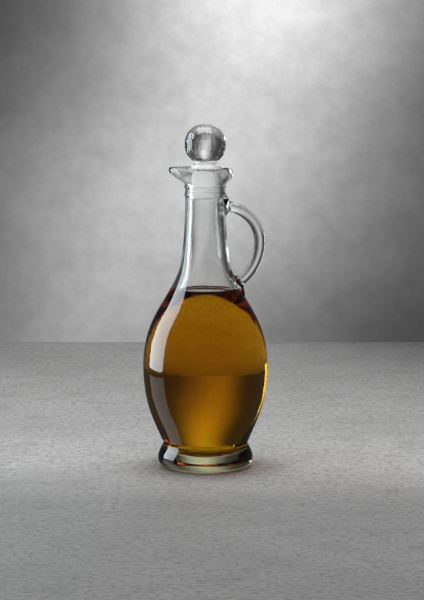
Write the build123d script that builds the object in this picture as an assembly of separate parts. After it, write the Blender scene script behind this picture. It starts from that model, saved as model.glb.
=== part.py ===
from build123d import *
import os
from math import cos, degrees, pi, sin

# Glass oil cruet: a hot-formed clear glass vessel with a heavy foot, an egg-shaped belly and a
# narrow neck that ends in a round lip drawn out to a pouring spout, a glass rod handle laid on
# hot, and a faceted glass ball stopper seated in a soft polyethylene plug.
# Millimetres, +Z up. The origin is the centre of the foot, on the surface that it stands on.
# The spout points along -X and the handle stands on the +X side.

# ---- driving dimensions -------------------------------------------------------------------
# vessel, outside
FOOT_RADIUS = 26.3
FOOT_WIDEST_Z = 5.6
BEARING_RADIUS = 23.4  # outer edge of the ring that the foot stands on
PUNT_RADIUS = 19.0  # the hollow under the foot starts here
PUNT_RISE = 1.0
PINCH_RADIUS = 23.5  # groove between the foot and the belly
PINCH_Z = 13.4
BELLY_RADIUS = 34.4
BELLY_WIDEST_Z = 57.3
NECK_RADIUS = 11.1
NECK_STRAIGHT_Z = 146.0  # the neck is a plain cylinder from here up
NECK_TOP_Z = 157.0  # the lip starts to flare here

# raised glass rings round the neck
RING_HEIGHTS = (151.3, 155.7)
RING_STAND_OUT = 0.45
RING_HALF_WIDTH = 1.0

# vessel, inside
FLOOR_Z = 9.8  # the foot is solid glass up to here
FLOOR_RADIUS = 13.0
BORE_RADIUS = 8.45  # ground bore that takes the plug
BORE_BOTTOM_Z = 141.0
THROAT_Z = 158.2  # the bore opens into the lip's funnel here

# lip and pouring spout
LIP_RADIUS = 15.2
LIP_WIDEST_Z = 163.2
RIM_Z = 165.6
RIM_ROUND = 0.6
FUNNEL_RADIUS = 12.3  # inner edge of the rim
SPOUT_REACH = 4.4  # how far the spout's tip stands out from the round lip
SPOUT_START_Z = 158.0
SPOUT_GROWTH = 2.2  # power of the spout's growth with height
SPOUT_SHARPNESS = 36  # power of the half-angle cosine that shapes the spout in plan
SPOUT_RISE = 1.0  # the rim climbs this much from the handle side to the tip
OUTLINE_POINTS = 48  # points round each section of the lip

# handle: a rod along two arcs, with its ends pressed out on the glass
ROD_RADIUS = 2.95
HANDLE_REACH_X = 29.9  # rod centre where it is furthest from the bottle's axis
HANDLE_WIDEST_Z = 125.5
UPPER_ARC_RADIUS = 19.3
LOWER_ARC_RADIUS = 27.3
LOWER_ARC_DEGREES = 64.0
HANDLE_ROOT_X = 9.6  # the rod starts here, inside the neck's wall
PAD_HALF_THICKNESS = 3.0
TOP_PAD_RADIUS = 5.6
TOP_PAD_X = 10.2
LOWER_PAD_RADIUS = 6.4
LOWER_PAD_PLACE = (17.2, 102.8)  # radius and height of the lower pad's centre
SHOULDER_SLOPE = 30.0  # degrees that the shoulder leans in from vertical at the lower pad

# stopper: faceted ball on a ground shank
BALL_CENTRE_Z = 179.05
BALL_SIDES = 12
BALL_TURN = 7.0  # degrees from the front to the first upright facet edge
# corner radius and height above the ball's centre of each edge between rows of facets
BALL_RINGS = (
    (7.4, -9.0),
    (9.9, -6.2),
    (11.2, -2.9),
    (11.2, 2.6),
    (9.7, 6.1),
    (6.6, 9.2),
    (2.4, 10.95),
)
SHANK_RADIUS = 5.5
SHANK_BOTTOM_Z = 151.2
SHANK_BOTTOM_ROUND = 1.0

# polyethylene plug
SHANK_CLEARANCE = 0.06
SEAT_GAP = 0.1  # between the flat under the ball and the plug's top
PLUG_TOP_RADIUS = 6.2
PLUG_HEAD_RADIUS = 8.0
PLUG_HEAD_TOP_Z = 167.4
PLUG_HEAD_BOTTOM_Z = 164.6
PLUG_STEM_RADIUS = 7.3
PLUG_BOTTOM_Z = 149.3
PLUG_FLOOR = 1.4
FIN_RADIUS = 8.39
FIN_HEIGHTS = (150.3, 153.3, 156.3)
FIN_THICKNESS = 1.0

# oil
OIL_LEVEL_Z = 98.1
OIL_GAP = 0.15  # between the oil's solid and the glass

# room for the trimming tools, well outside the glass
ABOVE_RIM = 3.0
TRIM_SIZE = 80.0


# ---- vessel of revolution -----------------------------------------------------------------
def foot_outline():
    """From the bearing ring, round the foot, to the pinch."""
    return Spline(
        (BEARING_RADIUS, 0),
        (25.7, 2.4),
        (FOOT_RADIUS, FOOT_WIDEST_Z),
        (25.2, 9.8),
        (PINCH_RADIUS, PINCH_Z),
        tangents=[(1, 0.2), (-0.1, 1)],
    )


def belly_outline():
    """From the pinch, over the belly and shoulder, up the neck."""
    return Spline(
        (PINCH_RADIUS, PINCH_Z),
        (27.2, 22.6),
        (31.1, 32.7),
        (33.8, 46.1),
        (BELLY_RADIUS, BELLY_WIDEST_Z),
        (33.0, 70.7),
        (28.2, 84.1),
        (20.5, 97.5),
        (14.4, 110.8),
        (12.05, 126.0),
        (NECK_RADIUS, NECK_STRAIGHT_Z),
        tangents=[(0.2, 1), (0, 1)],
    )


def neck_outline():
    """Straight neck with its low rounded rings."""
    edges = []
    start = (NECK_RADIUS, NECK_STRAIGHT_Z)
    for height in RING_HEIGHTS:
        low = (NECK_RADIUS, height - RING_HALF_WIDTH)
        crest = (NECK_RADIUS + RING_STAND_OUT, height)
        high = (NECK_RADIUS, height + RING_HALF_WIDTH)
        edges += [Line(start, low), ThreePointArc(low, crest, high)]
        start = high
    return edges + [Line(start, (NECK_RADIUS, NECK_TOP_Z))]


def cavity_outline(inset=0.0):
    """Inner wall from the floor to the ground bore, thick at the foot and thinner above."""
    points = [
        (FLOOR_RADIUS, FLOOR_Z + inset),
        (20.2 - inset, 12.6 + inset),
        (24.6 - inset, 21.6),
        (28.6 - inset, 32.7),
        (31.3 - inset, 46.1),
        (32.0 - inset, BELLY_WIDEST_Z),
        (30.6 - inset, 70.7),
        (25.7 - inset, 84.1),
        (18.0 - inset, 97.5),
        (11.8 - inset, 110.8),
        (9.3 - inset, 126.0),
        (BORE_RADIUS - inset, BORE_BOTTOM_Z),
    ]
    return Spline(*points, tangents=[(1, 0.02), (0, 1)])


def turned(outline):
    """Solid of revolution about Z from a closed outline of (radius, height) edges."""
    return revolve(Plane.XZ * make_face(outline), Axis.Z)


def vessel_blank():
    """Outside of the vessel, solid, from the foot with its punt to the start of the lip."""
    punt_middle = (PUNT_RADIUS * 0.5, PUNT_RISE * 0.75)
    outline = [
        ThreePointArc((0, PUNT_RISE), punt_middle, (PUNT_RADIUS, 0)),
        Line((PUNT_RADIUS, 0), (BEARING_RADIUS, 0)),
        foot_outline(),
        belly_outline(),
        *neck_outline(),
        Line((NECK_RADIUS, NECK_TOP_Z), (0, NECK_TOP_Z)),
        Line((0, NECK_TOP_Z), (0, PUNT_RISE)),
    ]
    return turned(outline)


# ---- lip and spout ------------------------------------------------------------------------
def spout_reach(height):
    """How far the spout stands out from the round lip at a height."""
    share = (height - SPOUT_START_Z) / (RIM_Z - SPOUT_START_Z)
    return SPOUT_REACH * min(max(share, 0.0), 1.0) ** SPOUT_GROWTH


def lip_section(radius, height):
    """The lip at a height: a circle drawn out towards -X."""
    points = []
    for i in range(OUTLINE_POINTS):
        angle = 2 * pi * i / OUTLINE_POINTS
        swell = abs(cos(angle / 2)) ** SPOUT_SHARPNESS
        reach = radius + spout_reach(height) * swell
        points.append((-reach * cos(angle), -reach * sin(angle)))
    return Pos(0, 0, height) * make_face(Spline(*points, periodic=True))


def lip_outside():
    """Flared outside of the lip, from inside the neck's wall to past the rim for trimming."""
    stations = [
        (NECK_RADIUS - 0.9, NECK_TOP_Z - 2.5),
        (NECK_RADIUS + 0.1, NECK_TOP_Z),
        (12.5, 158.2),
        (13.9, 159.6),
        (14.9, 161.2),
        (LIP_RADIUS, LIP_WIDEST_Z),
        (LIP_RADIUS, RIM_Z + ABOVE_RIM),
    ]
    return loft([lip_section(radius, height) for radius, height in stations])


def lip_inside():
    """Funnel from inside the bore to past the rim, drawn out into the spout's channel."""
    stations = [
        (BORE_RADIUS - 0.8, THROAT_Z - 1.4),
        (BORE_RADIUS + 0.1, THROAT_Z),
        (9.6, 160.4),
        (11.3, 163.2),
        (FUNNEL_RADIUS, RIM_Z),
        (FUNNEL_RADIUS + 0.6, RIM_Z + ABOVE_RIM),
    ]
    return loft([lip_section(radius, height) for radius, height in stations])


def above_rim():
    """Everything above the rim's plane, which climbs gently towards the spout."""
    handle_side = LIP_RADIUS
    spout_side = LIP_RADIUS + SPOUT_REACH
    climb = SPOUT_RISE / (handle_side + spout_side)
    middle_z = RIM_Z + climb * handle_side
    block = Pos(0, 0, TRIM_SIZE / 2) * Box(TRIM_SIZE, TRIM_SIZE, TRIM_SIZE)
    return Pos(0, 0, middle_z) * Rot(0, degrees(climb), 0) * block


# ---- bottle -------------------------------------------------------------------------------
def make_outside():
    """The vessel as if it were solid glass."""
    return vessel_blank() + lip_outside() - above_rim()


def make_cavity():
    """Everything inside the vessel, from its floor out through the lip."""
    bore_top_z = THROAT_Z + 0.6
    outline = [
        Line((0, FLOOR_Z), (FLOOR_RADIUS, FLOOR_Z)),
        cavity_outline(),
        Line((BORE_RADIUS, BORE_BOTTOM_Z), (BORE_RADIUS, bore_top_z)),
        Line((BORE_RADIUS, bore_top_z), (0, bore_top_z)),
        Line((0, bore_top_z), (0, FLOOR_Z)),
    ]
    return turned(outline) + lip_inside()


def make_bottle(outside, cavity):
    """Hollow vessel with both edges of its rim rounded."""
    bottle = outside - cavity
    rim_edges = bottle.edges().filter_by(lambda edge: edge.center().Z > RIM_Z - 0.2)
    return fillet(rim_edges, RIM_ROUND)


# ---- handle -------------------------------------------------------------------------------
def handle_path():
    """Rod centre line in the XZ plane: out from the neck, over, and down to the shoulder."""
    top_z = HANDLE_WIDEST_Z + UPPER_ARC_RADIUS
    turn_x = HANDLE_REACH_X - UPPER_ARC_RADIUS
    root = Line((HANDLE_ROOT_X, top_z), (turn_x, top_z))
    upper = JernArc(root @ 1, root % 1, UPPER_ARC_RADIUS, -90)
    lower = JernArc(upper @ 1, upper % 1, LOWER_ARC_RADIUS, -LOWER_ARC_DEGREES)
    return Plane.XZ * Wire([root, upper, lower])


def fused_pad(radius):
    """Lens-shaped blob of glass with its axis along X."""
    outline = [
        EllipticalCenterArc((0, 0), PAD_HALF_THICKNESS, radius, arc_size=180),
        Line((-PAD_HALF_THICKNESS, 0), (PAD_HALF_THICKNESS, 0)),
    ]
    return revolve(make_face(outline), Axis.X)


def make_handle(outside):
    """Rod and its two pads, cut where they meet the vessel."""
    path = handle_path()
    section = Plane(origin=path @ 0, z_dir=path % 0) * Circle(ROD_RADIUS)
    rod = sweep(section, path)
    top_z = HANDLE_WIDEST_Z + UPPER_ARC_RADIUS
    top_pad = Pos(TOP_PAD_X, 0, top_z) * fused_pad(TOP_PAD_RADIUS)
    pad_x, pad_z = LOWER_PAD_PLACE
    lower_pad = Pos(pad_x, 0, pad_z) * Rot(0, -SHOULDER_SLOPE, 0) * fused_pad(LOWER_PAD_RADIUS)
    return rod + top_pad + lower_pad - outside


# ---- stopper and plug ---------------------------------------------------------------------
def facet_ring(radius, height):
    """Regular polygon through the ball's corners at a height above its centre."""
    ring = RegularPolygon(radius, BALL_SIDES, rotation=-90 - BALL_TURN)
    return Pos(0, 0, BALL_CENTRE_Z + height) * ring


def make_glass_stopper():
    """Ball of flat facets with a flat seat, fused to a straight ground shank."""
    ball = loft([facet_ring(radius, height) for radius, height in BALL_RINGS], ruled=True)
    shank_height = BALL_CENTRE_Z + BALL_RINGS[1][1] - SHANK_BOTTOM_Z
    shank = Pos(0, 0, SHANK_BOTTOM_Z + shank_height / 2) * Cylinder(SHANK_RADIUS, shank_height)
    shank = fillet(shank.edges().group_by(Axis.Z)[0], SHANK_BOTTOM_ROUND)
    return ball + shank


def make_stopper_plug():
    """Finned sleeve, closed at the bottom, with a flange and a collar that the ball sits on."""
    seat_z = BALL_CENTRE_Z + BALL_RINGS[0][1]
    top_z = seat_z - SEAT_GAP
    outline = Polyline(
        (0, PLUG_BOTTOM_Z),
        (PLUG_STEM_RADIUS, PLUG_BOTTOM_Z),
        (PLUG_STEM_RADIUS, PLUG_HEAD_BOTTOM_Z),
        (PLUG_HEAD_RADIUS, PLUG_HEAD_BOTTOM_Z),
        (PLUG_HEAD_RADIUS, PLUG_HEAD_TOP_Z),
        (PLUG_TOP_RADIUS, PLUG_HEAD_TOP_Z),
        (PLUG_TOP_RADIUS, top_z),
        (0, top_z),
        close=True,
    )
    plug = turned(outline)
    for height in FIN_HEIGHTS:
        plug += Pos(0, 0, height) * Cylinder(FIN_RADIUS, FIN_THICKNESS)
    socket_floor = PLUG_BOTTOM_Z + PLUG_FLOOR
    socket_height = top_z - socket_floor
    socket_radius = SHANK_RADIUS + SHANK_CLEARANCE
    socket = Pos(0, 0, socket_floor + socket_height / 2) * Cylinder(socket_radius, socket_height)
    return plug - socket


# ---- oil ----------------------------------------------------------------------------------
def make_oil():
    """The oil that fills the vessel to its level."""
    floor_z = FLOOR_Z + OIL_GAP
    bore_radius = BORE_RADIUS - OIL_GAP
    outline = [
        Line((0, floor_z), (FLOOR_RADIUS, floor_z)),
        cavity_outline(OIL_GAP),
        Line((bore_radius, BORE_BOTTOM_Z), (0, BORE_BOTTOM_Z)),
        Line((0, BORE_BOTTOM_Z), (0, floor_z)),
    ]
    above_level = Pos(0, 0, OIL_LEVEL_Z + TRIM_SIZE / 2) * Box(TRIM_SIZE, TRIM_SIZE, TRIM_SIZE)
    return turned(outline) - above_level


def main():
    outside = make_outside()
    cavity = make_cavity()
    parts = {
        "bottle": make_bottle(outside, cavity),
        "handle": make_handle(outside),
        "glass_stopper": make_glass_stopper(),
        "stopper_plug": make_stopper_plug(),
        "oil": make_oil(),
    }
    os.makedirs("parts", exist_ok=True)
    for name, shape in parts.items():
        export_step(shape, f"parts/{name}.step")


main()
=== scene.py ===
from math import atan2, cos, pi, radians, sin

import bpy
import numpy as np
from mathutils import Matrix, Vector


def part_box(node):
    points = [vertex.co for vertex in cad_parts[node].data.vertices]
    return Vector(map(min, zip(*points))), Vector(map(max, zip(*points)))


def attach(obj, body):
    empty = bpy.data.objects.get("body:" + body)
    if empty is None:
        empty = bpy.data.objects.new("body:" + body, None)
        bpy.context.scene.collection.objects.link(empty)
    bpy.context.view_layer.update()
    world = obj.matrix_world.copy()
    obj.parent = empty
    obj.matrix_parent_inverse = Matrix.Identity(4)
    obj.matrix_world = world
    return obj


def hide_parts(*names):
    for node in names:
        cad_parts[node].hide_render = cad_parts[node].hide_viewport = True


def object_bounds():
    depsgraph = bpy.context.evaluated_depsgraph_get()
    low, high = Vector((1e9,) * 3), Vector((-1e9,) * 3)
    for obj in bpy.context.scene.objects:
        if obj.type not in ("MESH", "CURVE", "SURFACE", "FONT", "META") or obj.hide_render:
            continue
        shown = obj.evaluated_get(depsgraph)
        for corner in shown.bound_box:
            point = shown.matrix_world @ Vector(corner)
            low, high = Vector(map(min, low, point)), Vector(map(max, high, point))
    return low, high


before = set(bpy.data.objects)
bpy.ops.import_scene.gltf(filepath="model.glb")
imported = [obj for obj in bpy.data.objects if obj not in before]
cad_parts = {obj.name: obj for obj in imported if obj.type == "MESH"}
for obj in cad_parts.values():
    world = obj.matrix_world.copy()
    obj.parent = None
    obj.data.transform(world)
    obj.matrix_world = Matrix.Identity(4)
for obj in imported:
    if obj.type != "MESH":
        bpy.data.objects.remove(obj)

# ---- sizes --------------------------------------------------------------------------------
# Outlines are in design millimetres. The frame's overall height says how long one is.
DESIGN_HEIGHT = 190.0
cad_low, cad_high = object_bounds()
MM = (cad_high.z - cad_low.z) / DESIGN_HEIGHT

bottle_low, bottle_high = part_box("bottle")
_, handle_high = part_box("handle")
plug_low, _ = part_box("stopper_plug")
_, oil_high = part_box("oil")

# bottle
BELLY_RADIUS = (bottle_high.y - bottle_low.y) / 2 / MM
PINCH = (23.5, 13.4)  # radius and height of the waist over the foot
NECK_RADIUS = 11.1
NECK_STRAIGHT_Z = 146.0
RING_HEIGHTS = (151.3, 155.7)
RING_STAND_OUT = 0.5
RING_HALF_WIDTH = 1.1
BORE_RADIUS = 8.45
BORE_TOP_Z = 157.4
BORE_BOTTOM_Z = 141.0
FLOOR_RADIUS = 14.6
FLOOR_Z = 6.6
WALL_BAND = 0.6  # a face this near the cavity belongs to its wall
FLOOR_BAND = 0.3
SEGMENTS = 160

# lip and spout
LIP_RADIUS = 15.2
RIM_Z = 165.6
SPOUT_REACH = 4.9
SPOUT_START_Z = 158.0
SPOUT_GROWTH = 1.9  # higher draws the spout out nearer the rim
SPOUT_BLUNT = 1.9  # height of the spout's upright tip
SPOUT_SHARPNESS = 32  # higher is narrower
SPOUT_RISE = 1.0

# slow waves in the glass: how many round it, millimetres of height to a radian, and the
# shares of the depth and of the phase
WAVES = ((3, 17.0, 1.0, 1), (5, -11.0, 0.7, 2), (2, 6.1, 0.5, 3))
WAVE_START_Z = 2.0
WAVE_GROWTH = 12.0  # height over which the waves grow above their start
WAVE_FADE = 15.0  # height over which they fade below the bore
OUTSIDE_WAVE = (0.03, 0.4)  # depth and phase
INSIDE_WAVE = (0.1, 1.3)

# handle
ROD_RADIUS = 2.95
ROD_SEGMENTS = 96
UPPER_ARC = 19.3
LOWER_ARC = 27.3
HANDLE_WIDEST_Z = 125.5
HANDLE_REACH = handle_high.x / MM - ROD_RADIUS
NECK_CROSSING = 11.2  # the rod's centre line leaves the neck here
SHOULDER_CROSSING = 57.5  # degrees along the lower arc where it meets the shoulder
SHOULDER_RADIUS = 17.4  # of the glass under the lower pad
PAD_SINK = 1.3  # how far the pads run into the glass
END_LENGTH = 8.0  # stretch at each end that is meshed finely
END_STATIONS = 49
MIDDLE_STATIONS = 140

HANDLE_START_X = NECK_CROSSING - PAD_SINK
HANDLE_STRAIGHT = HANDLE_REACH - UPPER_ARC - HANDLE_START_X
HANDLE_UPPER = UPPER_ARC * pi / 2
HANDLE_LOWER = LOWER_ARC * radians(SHOULDER_CROSSING) + PAD_SINK

# handle pads
TOP_PAD = (7.6, 5.8, 0.6)  # half width, half height and phase of its folds
LOWER_PAD = (6.6, 7.8, 2.1)
PAD_FADE = 1.5  # distance over which a pad thins to the rod
PAD_HUG_FADE = 2.4  # distance over which it stops following the glass
PAD_LOBES = 5
PAD_LOBING = 0.07
PAD_RIPPLE = 0.1  # depth of the folds
PAD_RIPPLE_STEP = 2.3
PAD_RIPPLE_BEND = 0.9
PAD_RIPPLE_FADE = 1.3
PAD_RIPPLE_DEPTH = 0.4  # the folds end this far inside the glass

# stopper
BALL_CENTRE_Z = 179.05
BALL_SIDES = 12
BALL_START = radians(-97.0)  # angle of the first facet's edge
BALL_RINGS = (
    (7.4, -9.0),
    (9.9, -6.2),
    (11.2, -2.9),
    (11.2, 2.6),
    (9.7, 6.1),
    (6.6, 9.2),
    (2.4, 10.95),
)
BALL_ROUNDNESS = 0.55  # 0 for flat facets, 1 for a plain ball
BALL_STEPS = 12  # mesh columns across one facet
BALL_ROWS = 10  # mesh rows from one ring of edges to the next
SEAT_Z = BALL_CENTRE_Z + BALL_RINGS[0][1]
SHANK_RADIUS = 5.5
SHANK_BOTTOM_Z = 151.2
SHANK_CHAMFER = 0.8
SHANK_FLARE = (0.3, 0.4)  # width and height

# plug
PLUG_TOP_RADIUS = 6.2
PLUG_HEAD_RADIUS = 8.0
PLUG_HEAD_TOP_Z = 167.4
PLUG_HEAD_BOTTOM_Z = 164.6
PLUG_STEM_RADIUS = 7.3
PLUG_BOTTOM_Z = plug_low.z / MM
PLUG_FLOOR = 1.4
PLUG_EDGE = 0.22  # width of the rounding
PLUG_EDGE_ANGLE = 20
PLUG_SEGMENTS = 96
SEAT_GAP = 0.1
SOCKET_GAP = 0.06
FIN_RADIUS = 8.39
FIN_HEIGHTS = (150.3, 153.3, 156.3)
FIN_THICKNESS = 1.0

# oil
OIL_LEVEL = oil_high.z / MM
OIL_GAP = 0.06
MENISCUS = 1.1
MENISCUS_WIDTH = 1.35
MENISCUS_BAND = 4.5  # width of the surface's edge, which is meshed finely
MENISCUS_RINGS = 22
SURFACE_RINGS = 8
SURFACE_TILT = 0.1  # a face that looks up by more is the oil's surface
CONTACT = OIL_LEVEL + MENISCUS  # where the oil meets the glass
CONTACT_STEP = 0.05  # the oil's side ends this far below

# ---- materials ----------------------------------------------------------------------------
GLASS_IOR = 1.5
OIL_IOR = 1.47
OIL_SIDE_IOR = 1.003
STOPPER_IOR = 1.52
PLUG_IOR = 1.5
GLASS_TINT = (0.80, 0.93, 0.86)
GLASS_DENSITY = 14.0
OIL_TINT = (0.945, 0.83, 0.0)
OIL_DENSITY = 150.0
WHITE = (1, 1, 1, 1)

# depths of the glass's bumps, in metres, and its greatest roughness
WAVINESS = 0.0001
RIPPLE = 0.00005
BALL_WAVINESS = 0.00005
BALL_RIPPLE = 0.0007
SMUDGE = 0.02

# painted refraction: the foot's clear glass is tinted with the oil colour it shows by
# refraction, from the first of two heights to the second
FOOT_PAINTED_PALE = (0.96, 0.93, 0.80, 1)
FOOT_PAINTED_OIL = (0.62, 0.48, 0.10, 1)
FOOT_PAINTED_Z = (0.0105, 0.0085)

PLUG_MILK = (0.93, 0.94, 0.95, 1)
PLUG_WHITE = (0.97, 0.975, 0.975, 1)
PLUG_SCATTER = 0.007

STONE = (0.60, 0.60, 0.60, 1)
STONE_PALE = (0.76, 0.76, 0.755, 1)
STONE_STREAK = (0.40, 0.40, 0.395, 1)
STONE_SPECK = (0.30, 0.29, 0.28, 1)
# painted shade: the next two greys darken the floor where its light falls off, towards the wall,
# in front and in the far right corner
PAINTED_FLOOR_SHADE = (0.1, 0.1, 0.1, 1)
PAINTED_CORNER_SHADE = (0.05, 0.05, 0.05, 1)

# ---- stage and camera, in metres ----------------------------------------------------------
WALL_DISTANCE = 0.538
WALL_COLUMNS = 160
WALL_SQUARENESS = 8  # 2 for a round wall, higher for tighter corners
WALL_LEVELS = (np.linspace(0, 300, 46), np.linspace(320, 760, 20))  # design millimetres
WALL_DARK = 0.05
FLOOR_HALF = 2.2
WORLD_STRENGTH = 0.06
CAMERA_LENS = 135.0  # millimetres, as the sensor's width
CAMERA_SENSOR = 36
CAMERA_PITCH = 6.3
CAMERA_PLACE = (0.0037, -1.2355, 0.2294)
CAMERA_REACH = 20

# The wall's glow, in design millimetres along the wall: height, middle, brightness, and
# spread to the left and to the right.
# painted light: the wall's glow is emission standing in for a lamp's pool of light on it
GLOW = (
    (10, -69, 0.33, 76, 100),
    (57, -49, 0.44, 76, 106),
    (105, -18, 0.54, 91, 94),
    (152, 6, 0.59, 94, 85),
    (196, 30, 0.62, 91, 75),
    (250, 42, 0.80, 80, 75),
    (330, 45, 1.00, 70, 70),
    (420, 45, 0.70, 70, 70),
    (600, 45, 0.05, 95, 95),
)


# ---- curves and meshes --------------------------------------------------------------------
def spline(points, count, start=None, end=None):
    """Points along a smooth cubic curve through the given ones, leaving and arriving as told."""
    known = np.array(points, float)
    reach = np.linalg.norm(np.diff(known, axis=0), axis=1)
    place = np.concatenate([[0.0], np.cumsum(reach)])
    chord = np.diff(known, axis=0) / reach[:, None]
    last = len(known) - 1
    system = np.zeros((last + 1, last + 1))
    wanted = np.zeros_like(known)
    for i in range(1, last):
        system[i, i - 1 : i + 2] = reach[i], 2 * (reach[i - 1] + reach[i]), reach[i - 1]
        wanted[i] = 3 * (reach[i] * chord[i - 1] + reach[i - 1] * chord[i])
    for row, inner, direction, edge in ((0, 1, start, 0), (last, last - 1, end, last - 1)):
        if direction is None:
            system[row, row] = 2.0
            system[row, inner] = 1.0
            wanted[row] = 3 * chord[edge]
        else:
            system[row, row] = 1.0
            wanted[row] = np.array(direction, float) / np.linalg.norm(direction)
    slope = np.linalg.solve(system, wanted)
    where = np.linspace(0, place[-1], count)
    span = np.clip(np.searchsorted(place, where, side="right") - 1, 0, last - 1)
    t = ((where - place[span]) / reach[span])[:, None]
    gap = reach[span][:, None]
    return (
        (2 * t**3 - 3 * t**2 + 1) * known[span]
        + (t**3 - 2 * t**2 + t) * gap * slope[span]
        + (3 * t**2 - 2 * t**3) * known[span + 1]
        + (t**3 - t**2) * gap * slope[span + 1]
    )


def joined(*runs):
    """One line from several that meet end to end."""
    line = [np.array(runs[0], float)]
    for run in runs[1:]:
        line.append(np.array(run, float)[1:])
    return np.concatenate(line)


def add_object(name, vertices, faces, smooth=True):
    """A mesh object from points in millimetres."""
    mesh = bpy.data.meshes.new(name)
    mesh.from_pydata([tuple(p) for p in np.array(vertices) * MM], [], faces)
    mesh.validate()
    mesh.polygons.foreach_set("use_smooth", [smooth] * len(mesh.polygons))
    mesh.update()
    made = bpy.data.objects.new(name, mesh)
    bpy.context.scene.collection.objects.link(made)
    return made


def tube_faces(rings, segments):
    """Quads between rings of vertices."""
    faces = []
    for ring in range(rings - 1):
        low = ring * segments
        high = low + segments
        for i in range(segments):
            j = (i + 1) % segments
            faces.append((low + i, low + j, high + j, high + i))
    return faces


def closed_tube(name, rings, start, end):
    """Closed surface through rings of points, with a fan to a point at each end."""
    segments = len(rings[0])
    faces = tube_faces(len(rings), segments)
    hub = len(rings) * segments
    last_ring = hub - segments
    for i in range(segments):
        j = (i + 1) % segments
        faces.append((hub, j, i))
        faces.append((hub + 1, last_ring + i, last_ring + j))
    return add_object(name, np.concatenate([*rings, [start], [end]]), faces)


def lathe(name, profile, shape=None, segments=SEGMENTS, start_angle=0.0):
    """Closed surface turned about Z. The profile runs from the axis back to the axis."""
    angles = start_angle + 2 * pi * np.arange(segments) / segments
    rings = []
    for number, (radius, height) in enumerate(profile[1:-1]):
        flat = [radius * np.cos(angles), radius * np.sin(angles), 0 * angles + height]
        ring = np.stack(flat, 1)
        rings.append(shape(ring, number) if shape else ring)
    return closed_tube(name, rings, (0, 0, profile[0][1]), (0, 0, profile[-1][1]))


def apply_modifiers(made):
    """Bakes an object's modifiers into its mesh."""
    graph = bpy.context.evaluated_depsgraph_get()
    baked = bpy.data.meshes.new_from_object(made.evaluated_get(graph), depsgraph=graph)
    made.modifiers.clear()
    made.data = baked


def fuse(base, other):
    """Joins a closed mesh into another one."""
    union = base.modifiers.new("fuse", "BOOLEAN")
    union.operation = "UNION"
    union.solver = "EXACT"
    union.object = other
    apply_modifiers(base)
    bpy.data.objects.remove(other)
    base.data.polygons.foreach_set("use_smooth", [True] * len(base.data.polygons))


# ---- outlines of the vessel ---------------------------------------------------------------
def foot_line():
    """From the middle of the punt, round the bearing ring and the foot, to the pinch."""
    punt = [(0, 1.0), (10, 0.78), (17.5, 0.2), (20.0, 0.0)]
    bearing = [(20.0, 0.0), (21.2, 0.0), (22.4, 0.0)]
    side = [
        (22.4, 0.0),
        (24.3, 0.65),
        (25.6, 2.4),
        (26.3, 5.6),
        (25.9, 7.9),
        (25.0, 10.2),
        (23.95, 12.2),
        PINCH,
    ]
    return joined(
        spline(punt, count=14, start=(1, 0), end=(1, 0)),
        bearing,
        spline(side, count=60, start=(1, 0), end=(-0.1, 1)),
    )


def belly_line():
    """From the pinch, over the belly and the shoulder, to the straight of the neck."""
    points = [
        PINCH,
        (23.85, 14.8),
        (25.3, 18.2),
        (27.25, 22.6),
        (31.1, 32.7),
        (33.8, 46.1),
        (BELLY_RADIUS, 57.3),
        (33.0, 70.7),
        (28.2, 84.1),
        (20.5, 97.5),
        (14.4, 110.8),
        (12.05, 126.0),
        (NECK_RADIUS, NECK_STRAIGHT_Z),
    ]
    return spline(points, count=170, start=(-0.05, 1), end=(0, 1))


def neck_line():
    """Straight neck with two low rounded rings."""
    runs = []
    start = NECK_STRAIGHT_Z
    for ring in RING_HEIGHTS:
        foot = (NECK_RADIUS, ring - RING_HALF_WIDTH)
        crest = (NECK_RADIUS + RING_STAND_OUT, ring)
        head = (NECK_RADIUS, ring + RING_HALF_WIDTH)
        runs.append([(NECK_RADIUS, start), (NECK_RADIUS, (start + foot[1]) / 2), foot])
        runs.append(spline([foot, crest, head], count=15, start=(0.35, 1), end=(-0.35, 1)))
        start = head[1]
    return joined(*runs)


def lip_line():
    """From the upper ring, out under the lip, over the rolled rim and down the funnel."""
    points = [
        (NECK_RADIUS, RING_HEIGHTS[-1] + RING_HALF_WIDTH),
        (11.5, 157.4),
        (12.5, 158.2),
        (13.9, 159.6),
        (14.8, 161.1),
        (LIP_RADIUS, 163.0),
        (15.05, 164.4),
        (14.55, 165.3),
        (13.8, RIM_Z),
        (13.0, 165.3),
        (12.35, 164.5),
        (11.0, 162.3),
        (9.7, 160.2),
        (8.8, 158.8),
        (BORE_RADIUS, BORE_TOP_Z),
    ]
    return spline(points, count=110, start=(0, 1), end=(0, -1))


def cavity_line():
    """The cavity from the top of the bore, down the wall and in along the floor."""
    level = (-1, -0.02)
    bore = [(BORE_RADIUS, BORE_TOP_Z), (BORE_RADIUS, 152.0), (BORE_RADIUS, BORE_BOTTOM_Z)]
    wall = [
        (BORE_RADIUS, BORE_BOTTOM_Z),
        (9.3, 126.0),
        (11.8, 110.8),
        (18.0, 97.5),
        (25.7, 84.1),
        (30.6, 70.7),
        (32.0, 57.3),
        (31.3, 46.1),
        (28.6, 32.7),
        (24.6, 21.6),
        (22.0, 11.6),
        (FLOOR_RADIUS, FLOOR_Z),
    ]
    floor = [(FLOOR_RADIUS, FLOOR_Z), (0, FLOOR_Z)]
    return joined(
        bore,
        spline(wall, count=150, start=(0, -1), end=level),
        spline(floor, count=8, start=level, end=(-1, 0)),
    )


WALL_LINE = cavity_line()[::-1]


def cavity_radius(height):
    """Radius of the cavity at a height."""
    return float(np.interp(height, WALL_LINE[:, 1], WALL_LINE[:, 0]))


def spout_share(height):
    """How much of the spout's reach a height has: none at its start, all near the rim."""
    climb = np.clip((height - SPOUT_START_Z) / (RIM_Z - SPOUT_BLUNT - SPOUT_START_Z), 0, 1)
    return np.sin(climb * pi / 2) ** SPOUT_GROWTH


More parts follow.
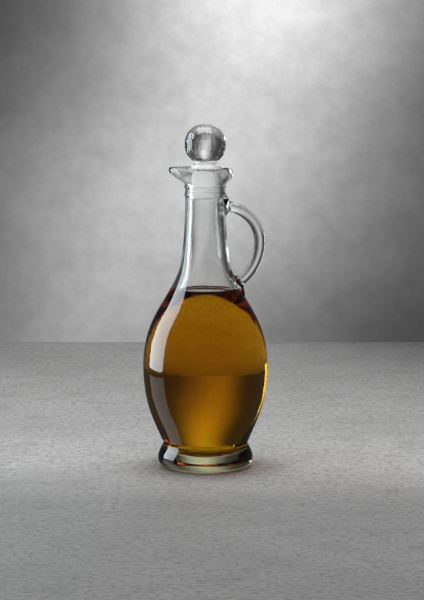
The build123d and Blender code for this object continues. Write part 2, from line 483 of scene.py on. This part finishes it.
def draw_spout(ring):
    """Draws one ring of the lip out to the spout and lifts it towards the tip."""
    x, y, z = ring.T
    around = np.arctan2(y, -x)
    share = spout_share(z)
    swell = SPOUT_REACH * share * np.abs(np.cos(around / 2)) ** SPOUT_SHARPNESS
    drawn_x = x - swell * np.cos(around)
    drawn_y = y + swell * np.sin(around)
    lift = SPOUT_RISE * share * (LIP_RADIUS - drawn_x) / (2 * LIP_RADIUS + SPOUT_REACH)
    return np.stack([drawn_x, drawn_y, z + lift], 1)


def wave(ring, depth, phase):
    """Moves a ring in and out by depth, in slow waves round and up the glass."""
    x, y, z = ring.T
    around = np.arctan2(y, x)
    swell = 0
    for count, rise, share, phases in WAVES:
        swell = swell + share * np.sin(count * around + z / rise + phases * phase)
    fade = np.clip((BORE_BOTTOM_Z - z) / WAVE_FADE, 0, 1)
    fade = fade * np.clip((z - WAVE_START_Z) / WAVE_GROWTH, 0, 1)
    grown = np.hypot(x, y) + depth * swell * fade
    return np.stack([grown * np.cos(around), grown * np.sin(around), z], 1)


# ---- handle -------------------------------------------------------------------------------
def handle_station(travel):
    """Centre, direction and upright direction of the rod after a length of travel."""
    if travel < HANDLE_STRAIGHT:
        turned = 0.0
        x = HANDLE_START_X + travel
        z = HANDLE_WIDEST_Z + UPPER_ARC
    elif travel < HANDLE_STRAIGHT + HANDLE_UPPER:
        turned = (travel - HANDLE_STRAIGHT) / UPPER_ARC
        x = HANDLE_REACH - UPPER_ARC + UPPER_ARC * sin(turned)
        z = HANDLE_WIDEST_Z + UPPER_ARC * cos(turned)
    else:
        swept = (travel - HANDLE_STRAIGHT - HANDLE_UPPER) / LOWER_ARC
        turned = pi / 2 + swept
        x = HANDLE_REACH - LOWER_ARC + LOWER_ARC * cos(swept)
        z = HANDLE_WIDEST_Z - LOWER_ARC * sin(swept)
    along = np.array([cos(turned), 0, -sin(turned)])
    upright = np.array([sin(turned), 0, cos(turned)])
    return np.array([x, 0, z]), along, upright


def pad_section(distance, pad, glass_radius, angles):
    """Offsets of a ring's points across, upright and along the rod, at a distance from the
    glass that the rod is pressed on."""
    half_width, half_height, phase = pad
    outside = max(distance, 0)
    spread = np.exp(-((outside / PAD_FADE) ** 2))
    fold = 1 + PAD_LOBING * np.sin(PAD_LOBES * angles + phase) * spread
    across = (ROD_RADIUS + (half_width - ROD_RADIUS) * spread) * fold * np.sin(angles)
    upright = (ROD_RADIUS + (half_height - ROD_RADIUS) * spread) * fold * np.cos(angles)
    hug = glass_radius - np.sqrt(np.maximum(glass_radius**2 - across**2, 1.0))
    hug = hug * np.exp(-((outside / PAD_HUG_FADE) ** 2))
    if distance > -PAD_RIPPLE_DEPTH:
        bend = PAD_RIPPLE_BEND * np.sin(across)
        ripple = PAD_RIPPLE * np.sin(2 * pi * upright / PAD_RIPPLE_STEP + bend + phase)
        hug = hug + ripple * np.exp(-((outside / PAD_RIPPLE_FADE) ** 2))
    return across, upright, hug


def make_handle():
    """Glass rod whose ends are pressed out into rippled pads on the neck and the shoulder."""
    length = HANDLE_STRAIGHT + HANDLE_UPPER + HANDLE_LOWER
    ends = np.linspace(0, END_LENGTH, END_STATIONS)
    middle = np.linspace(END_LENGTH, length - END_LENGTH, MIDDLE_STATIONS)[1:-1]
    angles = 2 * pi * np.arange(ROD_SEGMENTS) / ROD_SEGMENTS
    rings = []
    for travel in np.concatenate([ends, middle, length - ends[::-1]]):
        centre, along, upward = handle_station(travel)
        top_gap = travel - PAD_SINK
        low_gap = length - travel - PAD_SINK
        if top_gap < low_gap:
            across, upright, hug = pad_section(top_gap, TOP_PAD, NECK_RADIUS, angles)
            lean = -hug
        else:
            across, upright, lean = pad_section(low_gap, LOWER_PAD, SHOULDER_RADIUS, angles)
        ring = centre + np.outer(upright, upward) + np.outer(lean, along)
        ring[:, 1] += across
        rings.append(ring)
    return closed_tube("handle_rod", rings, rings[0].mean(0), rings[-1].mean(0))


# ---- shader helpers -----------------------------------------------------------------------
class Shader:
    """A material's node tree, with short ways to add nodes."""

    def __init__(self, name):
        self.material = bpy.data.materials.new(name)
        self.material.use_nodes = True
        self.tree = self.material.node_tree
        self.tree.nodes.clear()
        self.place = self.add("ShaderNodeTexCoord").outputs["Object"]

    def add(self, kind, inputs=None, **settings):
        """Adds a node. A socket among the inputs is linked, anything else is a value."""
        node = self.tree.nodes.new(kind)
        for key, value in settings.items():
            setattr(node, key, value)
        for key, value in (inputs or {}).items():
            if isinstance(value, bpy.types.NodeSocket):
                self.tree.links.new(value, node.inputs[key])
            else:
                node.inputs[key].default_value = value
        return node

    def noise(self, size, detail=2.0, roughness=0.5, stretch=(1, 1, 1), distortion=0.0):
        """Noise whose features are about size metres across."""
        place = {"Vector": self.place, "Scale": stretch}
        inputs = {
            "Vector": self.add("ShaderNodeMapping", place).outputs[0],
            "Scale": 1 / size,
            "Detail": detail,
            "Roughness": roughness,
            "Distortion": distortion,
        }
        return self.add("ShaderNodeTexNoise", inputs).outputs["Fac"]

    def ramp(self, factor, low, high, from_value, to_value):
        """Maps factor from low..high to from_value..to_value, clamped."""
        inputs = {
            "Value": factor,
            "From Min": low,
            "From Max": high,
            "To Min": from_value,
            "To Max": to_value,
        }
        return self.add("ShaderNodeMapRange", inputs).outputs[0]

    def axes(self):
        """X, Y and Z of the object's own coordinates, in metres."""
        return self.add("ShaderNodeSeparateXYZ", {0: self.place}).outputs

    def product(self, first, second):
        """Multiplies two values."""
        inputs = {0: first, 1: second}
        return self.add("ShaderNodeMath", inputs, operation="MULTIPLY").outputs[0]

    def attribute(self, name):
        """A number stored on the mesh."""
        return self.add("ShaderNodeAttribute", attribute_name=name).outputs["Fac"]

    def blend(self, factor, first, second):
        """Mixes two colours."""
        inputs = {0: factor, 6: first, 7: second}
        return self.add("ShaderNodeMix", inputs, data_type="RGBA").outputs[2]

    def bump(self, height, distance, normal=None):
        """Bump of the given depth in metres."""
        inputs = {"Height": height, "Distance": distance, "Strength": 1.0}
        if normal is not None:
            inputs["Normal"] = normal
        return self.add("ShaderNodeBump", inputs).outputs[0]

    def mix(self, factor, first, second):
        """Mixes two surfaces."""
        inputs = {0: factor, 1: first.outputs[0], 2: second.outputs[0]}
        return self.add("ShaderNodeMixShader", inputs)

    def complete(self, surface, volume=None):
        """Gives the material its surface, and a volume if there is one."""
        inputs = {"Surface": surface.outputs[0]}
        if volume is not None:
            inputs["Volume"] = volume.outputs[0]
        self.add("ShaderNodeOutputMaterial", inputs)
        return self.material


# ---- materials ----------------------------------------------------------------------------
def foot_painted_refraction(shader):
    """White above, and below a mottled painted refraction of the oil on the foot's clear glass.
    """
    _, _, height = shader.axes()
    mottle = shader.noise(
        0.008, detail=3.0, roughness=0.6, stretch=(1, 1, 0.3), distortion=0.8
    )
    painted_oil = shader.blend(mottle, FOOT_PAINTED_PALE, FOOT_PAINTED_OIL)
    return shader.blend(shader.ramp(height, *FOOT_PAINTED_Z, 0, 1), WHITE, painted_oil)


def glass(
    name,
    ior,
    other_ior=None,
    tint=GLASS_TINT,
    density=GLASS_DENSITY,
    waviness=WAVINESS,
    ripple=RIPPLE,
    foot=False,
):
    """Clear glass or liquid. Faces whose matched attribute is 1 bend light by other_ior."""
    shader = Shader(name)
    smudges = shader.noise(
        0.012, detail=4.0, roughness=0.6, stretch=(1, 1, 0.6), distortion=0.6
    )
    inputs = {
        # on the foot the base colour is a painted refraction of the oil
        "Base Color": foot_painted_refraction(shader) if foot else WHITE,
        "Roughness": shader.ramp(smudges, 0.55, 0.8, 0.0, SMUDGE),
        "IOR": ior,
        "Transmission Weight": 1.0,
    }
    if waviness > 0:
        waves = shader.noise(0.021, detail=1.0, roughness=0.4, stretch=(1, 1, 0.45))
        ripples = shader.noise(
            0.004, detail=1.0, roughness=0.5, stretch=(1, 1, 0.6), distortion=0.5
        )
        inputs["Normal"] = shader.bump(ripples, ripple, shader.bump(waves, waviness))
    surface = shader.add("ShaderNodeBsdfPrincipled", inputs)
    if other_ior is not None:
        inputs = {
            "Base Color": WHITE,
            "Roughness": 0.0,
            "IOR": other_ior,
            "Transmission Weight": 1.0,
        }
        other = shader.add("ShaderNodeBsdfPrincipled", inputs)
        surface = shader.mix(shader.attribute("matched"), surface, other)
    if density == 0:
        return shader.complete(surface)
    inputs = {"Color": (*tint, 1), "Density": density}
    return shader.complete(surface, shader.add("ShaderNodeVolumeAbsorption", inputs))


def plug_plastic():
    """Milky polyethylene with a fine moulded grain."""
    shader = Shader("polyethylene")
    grain = shader.noise(0.0006, detail=3.0, roughness=0.6)
    cloud = shader.noise(0.004, detail=2.0, roughness=0.5)
    inputs = {
        "Base Color": shader.blend(cloud, PLUG_MILK, PLUG_WHITE),
        "Roughness": shader.ramp(cloud, 0.3, 0.7, 0.32, 0.46),
        "IOR": PLUG_IOR,
        "Subsurface Weight": 1.0,
        "Subsurface Radius": [PLUG_SCATTER] * 3,
        "Subsurface Scale": 1.0,
        "Normal": shader.bump(grain, 0.00003),
    }
    return shader.complete(shader.add("ShaderNodeBsdfPrincipled", inputs))


def floor_mottle_and_painted_shade(shader, patches, streaks, specks):
    """Mottled grey with painted shade: darker in front, towards the wall and in the far right
    corner.
    """
    across, depth, _ = shader.axes()
    tone = shader.blend(shader.ramp(patches, 0.3, 0.7, 0, 1), STONE, STONE_PALE)
    tone = shader.blend(shader.ramp(streaks, 0.5, 0.7, 0, 0.5), tone, STONE_STREAK)
    tone = shader.blend(shader.ramp(specks, 0.47, 0.66, 0, 1), tone, STONE_SPECK)
    # painted shade: darker towards the wall, and darker in front
    tone = shader.blend(shader.ramp(depth, 0.02, 0.5, 0, 0.32), tone, PAINTED_FLOOR_SHADE)
    tone = shader.blend(shader.ramp(depth, 0.0, -0.1, 0, 0.5), tone, PAINTED_FLOOR_SHADE)
    # painted shade in the far right corner, towards the back
    right = shader.ramp(across, 0.04, 0.22, 0, 0.6)
    back = shader.ramp(depth, 0.1, 0.5, 0, 1)
    return shader.blend(shader.product(right, back), tone, PAINTED_CORNER_SHADE)


def floor_stone():
    """Pale mottled floor, with painted shade in its colour."""
    shader = Shader("pale_floor")
    patches = shader.noise(0.09, detail=5.0, roughness=0.62)
    streaks = shader.noise(
        0.02, detail=5.0, roughness=0.65, stretch=(0.8, 1, 1), distortion=0.2
    )
    specks = shader.noise(0.0034, detail=5.0, roughness=0.8)
    inputs = {
        "Base Color": floor_mottle_and_painted_shade(shader, patches, streaks, specks),
        "Roughness": shader.ramp(patches, 0.3, 0.7, 0.55, 0.75),
        "Normal": shader.bump(specks, 0.0014, shader.bump(streaks, 0.0008)),
    }
    return shader.complete(shader.add("ShaderNodeBsdfPrincipled", inputs))


def backdrop_painted_light():
    """Wall with painted light: it glows as its glow attribute says, and is clear from behind."""
    shader = Shader("backdrop")
    mottle = shader.noise(0.024, detail=7.0, roughness=0.75)
    mottle = shader.ramp(mottle, 0.3, 0.7, 0.86, 1.11)
    strength = shader.product(shader.attribute("glow"), mottle)
    light = shader.add("ShaderNodeEmission", {"Color": WHITE, "Strength": strength})
    clear = shader.add("ShaderNodeBsdfTransparent")
    behind = shader.add("ShaderNodeNewGeometry").outputs["Backfacing"]
    return shader.complete(shader.mix(behind, light, clear))


# ---- pieces -------------------------------------------------------------------------------
def mark_matched(made, test):
    """Sets the matched attribute of the faces for which test(centre, normal) is true."""
    attribute = made.data.attributes.new("matched", "FLOAT", "FACE")
    values = [float(test(face.center / MM, face.normal)) for face in made.data.polygons]
    attribute.data.foreach_set("value", values)


def make_vessel(material):
    """Bottle and handle as one piece of glass, since the handle is fused on."""
    outside = joined(foot_line(), belly_line(), neck_line(), lip_line())
    inside = cavity_line()
    nearest = np.argmin(np.abs(inside[:, 1] - CONTACT))
    inside[nearest] = (cavity_radius(CONTACT), CONTACT)

    def shape(ring, number):
        outer = number <= len(outside) - 2
        return wave(draw_spout(ring), *(OUTSIDE_WAVE if outer else INSIDE_WAVE))

    def wetted(centre, _):
        near_wall = centre.xy.length < cavity_radius(centre.z) + WALL_BAND
        return near_wall and FLOOR_Z - FLOOR_BAND < centre.z < CONTACT

    vessel = lathe("vessel_glass", joined(outside, inside), shape)
    fuse(vessel, make_handle())
    vessel.data.materials.clear()
    vessel.data.materials.append(material)
    mark_matched(vessel, wetted)
    return vessel


def make_oil(material):
    """The oil, with its surface drawn up where it wets the glass."""
    below = WALL_LINE[WALL_LINE[:, 1] < CONTACT - CONTACT_STEP]
    below[:, 0] = np.maximum(below[:, 0] - OIL_GAP, 0)
    below[:, 1] = np.maximum(below[:, 1], FLOOR_Z + OIL_GAP)
    edge = cavity_radius(CONTACT) - OIL_GAP
    curved = np.linspace(0, MENISCUS_BAND, MENISCUS_RINGS)
    level = np.linspace(MENISCUS_BAND + 1, edge, SURFACE_RINGS)
    inward = edge - np.concatenate([curved, level])
    top = [(r, OIL_LEVEL + MENISCUS * np.exp(-(edge - r) / MENISCUS_WIDTH)) for r in inward]

    def side(centre, normal):
        return not (normal.z > SURFACE_TILT and centre.z > OIL_LEVEL - MENISCUS)

    profile = joined(below, [below[-1], top[0]], top)
    oil = lathe("oil_body", profile, lambda ring, _: wave(ring, *INSIDE_WAVE))
    oil.data.materials.append(material)
    mark_matched(oil, side)
    return oil


def ball_outline():
    """The ball from its seat to its crown, part way from straight facets to a curve."""
    corners = np.array(BALL_RINGS)
    reach = np.linalg.norm(np.diff(corners, axis=0), axis=1)
    stations = np.concatenate([[0], np.cumsum(reach)])
    rows = BALL_ROWS * len(reach) + 1
    curve = spline(BALL_RINGS, rows, start=(1, 1), end=(-1, 0.1))
    along = np.linspace(0, stations[-1], rows)
    places = np.unique(np.concatenate([along, stations]))
    outline = []
    for i in (0, 1):
        straight = np.interp(places, stations, corners[:, i])
        rounded = np.interp(places, along, curve[:, i])
        outline.append((1 - BALL_ROUNDNESS) * straight + BALL_ROUNDNESS * rounded)
    return np.stack(outline, 1) + [0, BALL_CENTRE_Z]


def make_ball(material):
    """Ball of soft-edged facets on its ground shank."""
    flare_width, flare_height = SHANK_FLARE
    sector = 2 * pi / BALL_SIDES
    shank = [
        (0, SHANK_BOTTOM_Z),
        (SHANK_RADIUS - SHANK_CHAMFER, SHANK_BOTTOM_Z),
        (SHANK_RADIUS, SHANK_BOTTOM_Z + SHANK_CHAMFER),
        (SHANK_RADIUS, SEAT_Z - flare_height),
        (SHANK_RADIUS + flare_width, SEAT_Z),
    ]
    outline = ball_outline()
    crown = [outline[-1], (0, outline[-1][1])]

    def facet(ring, _):
        x, y, z = ring.T
        across = np.mod(np.arctan2(y, x) - BALL_START, sector) - sector / 2
        flat = cos(sector / 2) / np.cos(across)
        share = (1 - BALL_ROUNDNESS) * np.clip(z - SEAT_Z, 0, 1)
        pull = 1 + (flat - 1) * share
        return np.stack([x * pull, y * pull, z], 1)

    profile = joined(shank, [shank[-1], outline[0]], outline, crown)
    ball = lathe("ball_stopper", profile, facet, BALL_SIDES * BALL_STEPS, BALL_START)
    ball.data.materials.append(material)
    return ball


def make_plug(material):
    """Finned sleeve with a head, open at the top for the shank."""
    top_z = SEAT_Z - SEAT_GAP
    floor_z = PLUG_BOTTOM_Z + PLUG_FLOOR
    socket = SHANK_RADIUS + SOCKET_GAP
    profile = [(0, PLUG_BOTTOM_Z), (PLUG_STEM_RADIUS, PLUG_BOTTOM_Z)]
    for height in FIN_HEIGHTS:
        low, high = height - FIN_THICKNESS / 2, height + FIN_THICKNESS / 2
        profile += [(PLUG_STEM_RADIUS, low), (FIN_RADIUS, low)]
        profile += [(FIN_RADIUS, high), (PLUG_STEM_RADIUS, high)]
    profile += [
        (PLUG_STEM_RADIUS, PLUG_HEAD_BOTTOM_Z),
        (PLUG_HEAD_RADIUS, PLUG_HEAD_BOTTOM_Z),
        (PLUG_HEAD_RADIUS, PLUG_HEAD_TOP_Z),
        (PLUG_TOP_RADIUS, PLUG_HEAD_TOP_Z),
        (PLUG_TOP_RADIUS, top_z),
        (socket, top_z),
        (socket, floor_z),
        (0, floor_z),
    ]
    plug = lathe("plug_sleeve", profile, segments=PLUG_SEGMENTS)
    bevel = plug.modifiers.new("edges", "BEVEL")
    bevel.width = PLUG_EDGE * MM
    bevel.segments = 3
    bevel.limit_method = "ANGLE"
    bevel.angle_limit = radians(PLUG_EDGE_ANGLE)
    bevel.harden_normals = True
    apply_modifiers(plug)
    plug.data.materials.append(material)
    return plug


# ---- stage --------------------------------------------------------------------------------
def backdrop_glow(x, y, z):
    """Brightness of the wall at a place: one soft diagonal glow of painted light behind the
    bottle.
    """
    heights, *columns = zip(*GLOW)
    middle, peak, left, right = (np.interp(z, heights, column) for column in columns)
    along = WALL_DISTANCE / MM * atan2(x, y)
    spread = left if along < middle else right
    return WALL_DARK + peak * np.exp(-0.5 * ((along - middle) / spread) ** 2)


def make_backdrop():
    """A wall all round, flat at the back with rounded corners, seen only from inside."""
    power = WALL_SQUARENESS
    levels = np.concatenate(WALL_LEVELS)
    vertices, glow = [], []
    for level in levels:
        for i in range(WALL_COLUMNS):
            angle = 2 * pi * i / WALL_COLUMNS
            square = (abs(cos(angle)) ** power + abs(sin(angle)) ** power) ** (1 / power)
            reach = WALL_DISTANCE / MM / square
            x, y = reach * sin(angle), reach * cos(angle)
            vertices.append((x, y, level))
            glow.append(backdrop_glow(x, y, level))
    wall = add_object("backdrop", vertices, tube_faces(len(levels), WALL_COLUMNS))
    attribute = wall.data.attributes.new("glow", "FLOAT", "POINT")
    attribute.data.foreach_set("value", glow)
    wall.data.materials.append(backdrop_painted_light())
    return wall


def make_floor():
    """Plain pale floor. Reflections look through it, to the lamp that stands for its glow."""
    half = FLOOR_HALF / MM
    corners = [(-half, -half, 0), (half, -half, 0), (half, half, 0), (-half, half, 0)]
    floor = add_object("floor", corners, [(0, 1, 2, 3)], smooth=False)
    floor.data.materials.append(floor_stone())
    floor.visible_glossy = False
    return floor


# ---- light and camera, in metres ----------------------------------------------------------
def add_light(name, place, target, size, luminance, colour=(1, 1, 1), hidden=()):
    """Rectangular soft light of a given brightness per area, aimed at a target. The camera
    doesn't see it, and neither do the hidden kinds of ray."""
    light = bpy.data.lights.new(name, "AREA")
    light.shape = "RECTANGLE"
    light.size, light.size_y = size
    light.energy = luminance * pi * size[0] * size[1]
    light.color = colour
    made = bpy.data.objects.new(name, light)
    made.location = place
    made.rotation_euler = (Vector(target) - Vector(place)).to_track_quat("-Z", "Y").to_euler()
    for ray in ("camera", *hidden):
        setattr(made, "visible_" + ray, False)
    bpy.context.scene.collection.objects.link(made)
    return made


def link_light(light, lit, clear):
    """Lets a light reach one object only, straight through the clear one round it."""
    lit_only = bpy.data.collections.new("lit_by_" + light.name)
    lit_only.objects.link(lit)
    light.light_linking.receiver_collection = lit_only
    shading = bpy.data.collections.new("shading_" + light.name)
    shading.objects.link(clear)
    light.light_linking.blocker_collection = shading
    shading.collection_objects[0].light_linking.link_state = "EXCLUDE"


def add_lights(plug, vessel):
    """A softbox on the left, its light through the glass, and fill from above and in front."""
    add_light(
        "left_softbox",
        place=(-0.34, 0.07, 0.21),
        target=(0, 0.07, 0.21),
        size=(0.26, 0.40),
        luminance=6.8,
        colour=(0.84, 0.94, 1.0),
        hidden=("diffuse", "transmission"),
    )
    add_light(
        "left_window",
        place=(-0.36, 0.10, 0.16),
        target=(0, 0.10, 0.16),
        size=(0.20, 0.31),
        luminance=4.4,
        colour=(0.95, 0.98, 1.0),
        hidden=("diffuse", "glossy"),
    )
    add_light(
        "overhead",
        place=(0.0, 0.06, 0.80),
        target=(0, 0.06, 0),
        size=(0.60, 0.42),
        luminance=6.4,
    )
    add_light(
        "front_fill",
        place=(-0.05, -0.50, 0.42),
        target=(0, 0, 0.12),
        size=(0.90, 0.50),
        luminance=0.7,
        hidden=("glossy", "transmission"),
    )
    add_light(
        "left_table",
        place=(-0.34, 0.07, -0.21),
        target=(0, 0.07, -0.21),
        size=(0.26, 0.40),
        luminance=0.85,
        hidden=("diffuse", "transmission"),
    )
    plug_fill = add_light(
        "plug_fill",
        place=(-0.05, -0.50, 0.30),
        target=(0, 0, 0.16),
        size=(0.90, 0.60),
        luminance=2.4,
        hidden=("glossy", "transmission"),
    )
    link_light(plug_fill, plug, vessel)


def make_camera():
    """Long lens a little above the table, looking slightly down."""
    camera = bpy.data.cameras.new("camera")
    camera.lens = CAMERA_LENS
    camera.sensor_width = CAMERA_SENSOR
    camera.sensor_fit = "AUTO"
    camera.clip_end = CAMERA_REACH
    made = bpy.data.objects.new("camera", camera)
    made.location = CAMERA_PLACE
    made.rotation_euler = (radians(90 - CAMERA_PITCH), 0, 0)
    bpy.context.scene.collection.objects.link(made)
    bpy.context.scene.camera = made


def set_look():
    """World light and how light is traced."""
    scene = bpy.context.scene
    scene.world = bpy.data.worlds.new("world")
    scene.world.use_nodes = True
    background = scene.world.node_tree.nodes["Background"]
    background.inputs["Color"].default_value = WHITE
    background.inputs["Strength"].default_value = WORLD_STRENGTH
    scene.view_settings.view_transform = "Standard"
    cycles = scene.cycles
    cycles.max_bounces = 20
    cycles.transmission_bounces = 18
    cycles.glossy_bounces = 8
    cycles.diffuse_bounces = 3
    cycles.transparent_max_bounces = 12
    cycles.caustics_refractive = True
    cycles.caustics_reflective = False
    cycles.sample_clamp_indirect = 6.0


def main():
    clear = glass("clear_glass", GLASS_IOR, other_ior=GLASS_IOR / OIL_IOR, foot=True)
    golden = glass("olive_oil", OIL_IOR, OIL_SIDE_IOR, OIL_TINT, OIL_DENSITY, waviness=0)
    crystal = glass(
        "stopper_glass",
        STOPPER_IOR,
        density=0,
        waviness=BALL_WAVINESS,
        ripple=BALL_RIPPLE,
    )

    vessel = make_vessel(clear)
    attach(vessel, "vessel")
    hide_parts("bottle", "handle")

    oil = make_oil(golden)
    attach(oil, "vessel")
    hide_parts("oil")

    ball = make_ball(crystal)
    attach(ball, "stopper")
    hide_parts("glass_stopper")

    plug = make_plug(plug_plastic())
    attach(plug, "plug")
    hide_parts("stopper_plug")

    make_floor()
    make_backdrop()
    add_lights(plug, vessel)
    set_look()
    make_camera()


main()
